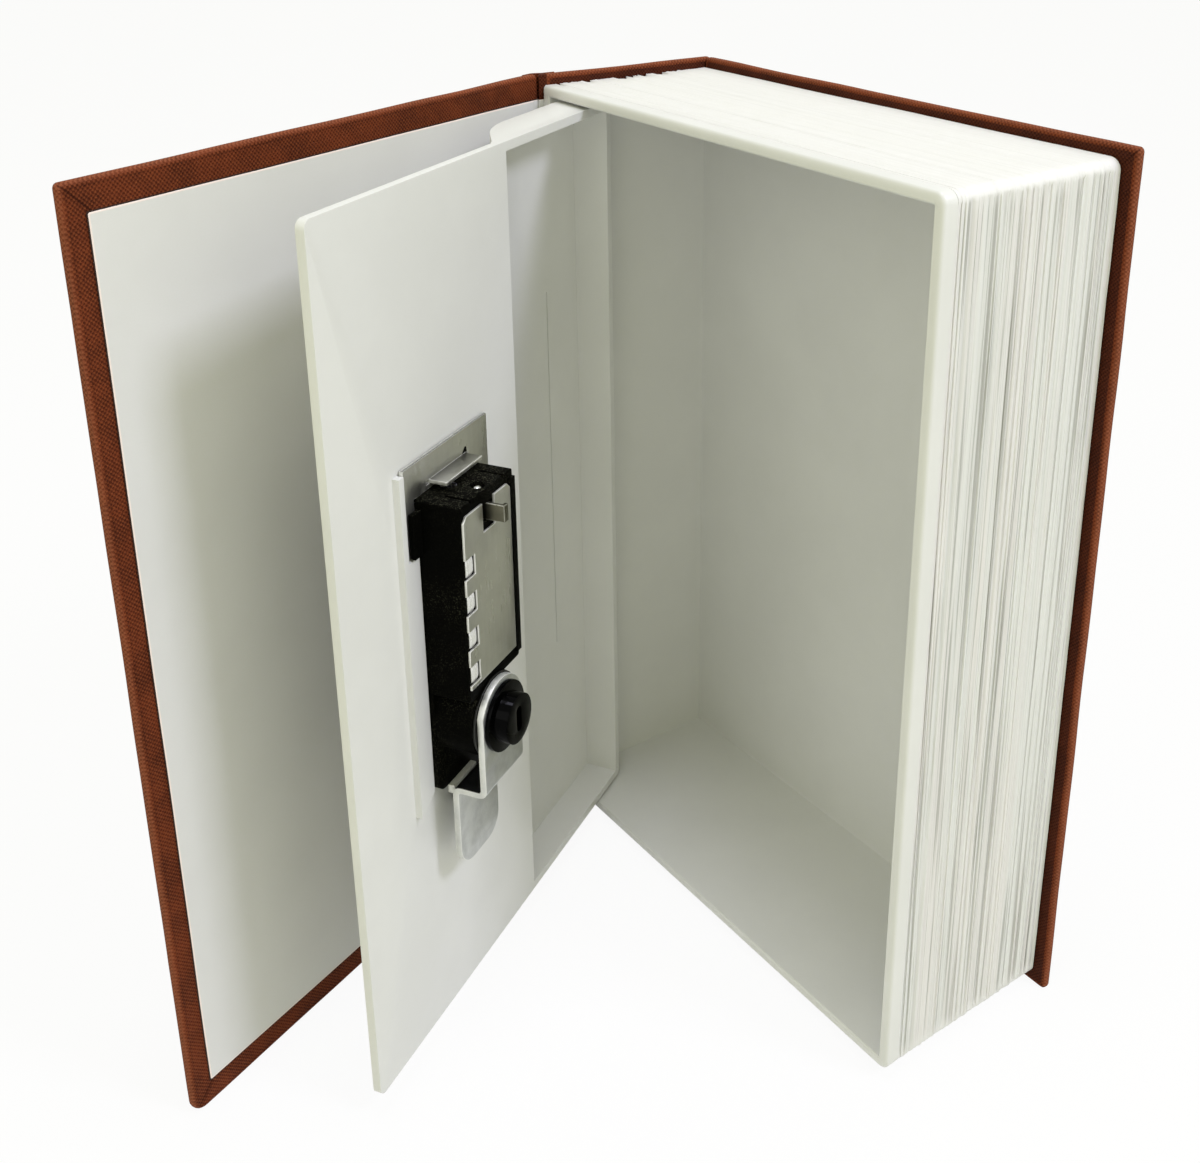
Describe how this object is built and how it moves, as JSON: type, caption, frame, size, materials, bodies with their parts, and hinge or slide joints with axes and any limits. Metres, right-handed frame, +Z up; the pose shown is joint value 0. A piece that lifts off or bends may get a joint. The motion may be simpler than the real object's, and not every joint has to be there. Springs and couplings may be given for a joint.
{
  "type": "book diversion safe",
  "caption": "Upright hollow book with cloth covers: a moulded page tray for storage behind a hinged inner door with a combination lock and a turning cam.",
  "frame": {"origin": "middle of the back cover's lower edge, where the book stands", "axes": "+Z up along the spine; the tray opens towards -Y; the spine is at -X and the fore-edge at +X"},
  "size_m": [0.1635, 0.2074, 0.24],
  "materials": {
    "white_plastic": "satin moulded",
    "book_cloth": "fine woven, brown",
    "grey_board": "raw",
    "endpaper": "smooth",
    "black_plastic": "fine moulded grain",
    "gloss_black": "glossy black",
    "satin_steel": "satin",
    "bright_steel": "bright turned",
    "zinc_plate": "zinc plated, mottled",
    "chrome": "bright"
  },
  "bodies": {
    "case": {"page_tray": "white_plastic", "back_cloth": "book_cloth", "back_board": "grey_board", "spine_cloth": "book_cloth", "spine_board": "grey_board"},
    "front_cover": {"front_cloth": "book_cloth", "front_board": "grey_board", "front_endpaper": "endpaper"},
    "door": {"inner_door": "white_plastic", "lock_housing": "black_plastic", "lock_bezel": "black_plastic", "back_plate": "satin_steel", "retaining_bracket": "satin_steel", "dial_shaft": "bright_steel", "change_pin": "bright_steel", "stop_plate": "satin_steel"},
    "lever": {"change_lever": "satin_steel"},
    "cam_turn": {"spindle": "bright_steel", "cam_washer": "satin_steel", "cam": "zinc_plate", "cam_screw": "gloss_black", "knob": "chrome"},
    "wheel_1": {"dial_1": "chrome"},
    "wheel_2": {"dial_2": "chrome"},
    "wheel_3": {"dial_3": "chrome"},
    "wheel_4": {"dial_4": "chrome"}
  },
  "joints": [
    {"name": "front_cover_hinge", "type": "hinge", "parent": "case", "child": "front_cover", "pos_m": [-0.07705, -0.05682, 0.12], "axis": [0, 0, 1], "range_deg": [-41.4, 67.7]},
    {"name": "inner_door_hinge", "type": "hinge", "parent": "case", "child": "door", "pos_m": [-0.0691, -0.05385, 0.12], "axis": [0, 0, 1], "range_deg": [-36, 58.8]},
    {"name": "cam_turn_joint", "type": "hinge", "parent": "door", "child": "cam_turn", "pos_m": [-0.01196, -0.13276, 0.0975], "axis": [0.8554, 0.518, 0], "range_deg": [-90, 0]},
    {"name": "change_lever_slide", "type": "slide", "parent": "door", "child": "lever", "axis": [0.518, -0.8554, 0], "range_m": [0, 0.0028]},
    {"name": "dial_1_spin", "type": "hinge", "parent": "door", "child": "wheel_1", "pos_m": [-0.00862, -0.13074, 0.1141], "axis": [0, 0, 1], "continuous": true},
    {"name": "dial_2_spin", "type": "hinge", "parent": "door", "child": "wheel_2", "pos_m": [-0.00862, -0.13074, 0.12365], "axis": [0, 0, 1], "continuous": true},
    {"name": "dial_3_spin", "type": "hinge", "parent": "door", "child": "wheel_3", "pos_m": [-0.00862, -0.13074, 0.1332], "axis": [0, 0, 1], "continuous": true},
    {"name": "dial_4_spin", "type": "hinge", "parent": "door", "child": "wheel_4", "pos_m": [-0.00862, -0.13074, 0.14275], "axis": [0, 0, 1], "continuous": true}
  ],
  "couplings": [
    {"joint": "inner_door_hinge", "follows": "front_cover_hinge", "ratio": 0.8685}
  ]
}
